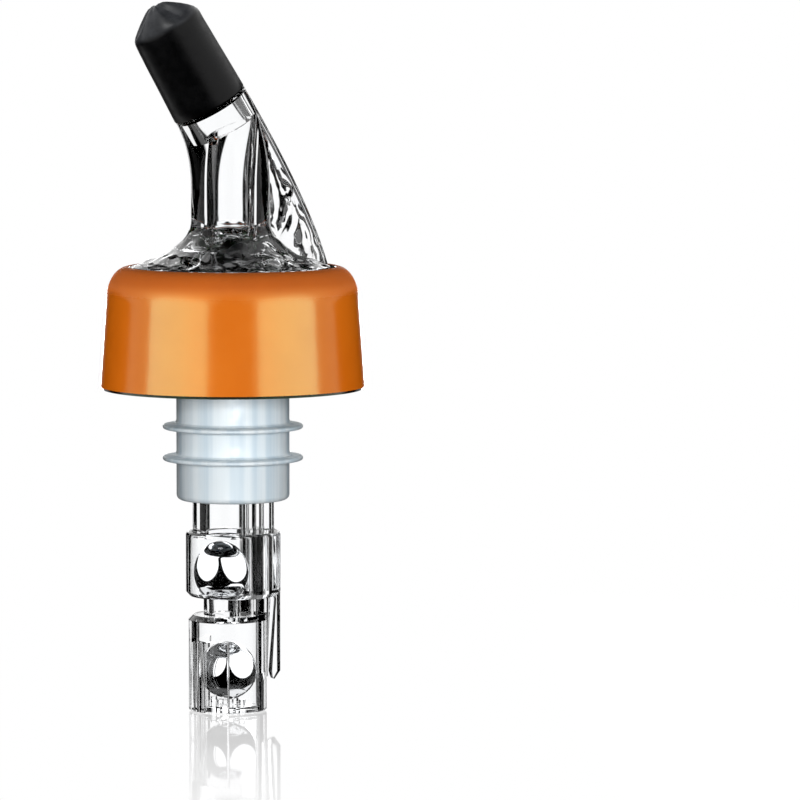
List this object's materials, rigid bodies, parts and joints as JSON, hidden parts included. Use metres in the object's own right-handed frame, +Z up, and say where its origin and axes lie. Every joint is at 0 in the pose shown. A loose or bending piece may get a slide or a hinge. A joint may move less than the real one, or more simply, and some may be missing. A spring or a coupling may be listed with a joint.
{
  "type": "bottle pourer",
  "caption": "Measured bottle pourer: clear leaning spout with a push-on cap, coloured collar, finned stopper and a ball valve housing that meters the pour.",
  "frame": {"origin": "on the stopper's axis, in the plane where the bottle's lip bears against the stopper's head", "axes": "+Z up along the stopper's axis, towards the spout; the nozzle leans towards -X and the breather runs up the +X side"},
  "size_m": [0.0434, 0.0434, 0.1165],
  "materials": {
    "clear_plastic": "polished clear moulding",
    "orange_plastic": "gloss",
    "black_rubber": "satin",
    "milky_plastic": "soft translucent",
    "steel": "mirror polished"
  },
  "bodies": {
    "pourer": {"spout": "clear_plastic", "collar": "orange_plastic", "cork": "milky_plastic", "flow_tube": "clear_plastic", "breather_tube": "clear_plastic", "ball_chamber": "clear_plastic", "ball_cage": "clear_plastic", "cage_floor": "clear_plastic"},
    "cap": {"dust_cap": "black_rubber"},
    "shutoff": {"shutoff_ball": "steel"},
    "upper": {"upper_ball": "steel"},
    "lower": {"lower_ball": "steel"}
  },
  "joints": [
    {"name": "dust_cap_slide", "type": "slide", "parent": "pourer", "child": "cap", "axis": [-0.5, 0, 0.866], "range_m": [0, 0.024]},
    {"name": "shutoff_ball_travel", "type": "slide", "parent": "pourer", "child": "shutoff", "axis": [0, 0, 1], "range_m": [0, 0.0203]},
    {"name": "upper_ball_travel", "type": "slide", "parent": "pourer", "child": "upper", "axis": [0, 0, 1], "range_m": [0, 0.0018]},
    {"name": "lower_ball_travel", "type": "slide", "parent": "pourer", "child": "lower", "axis": [0, 0, 1], "range_m": [0, 0.003]}
  ]
}
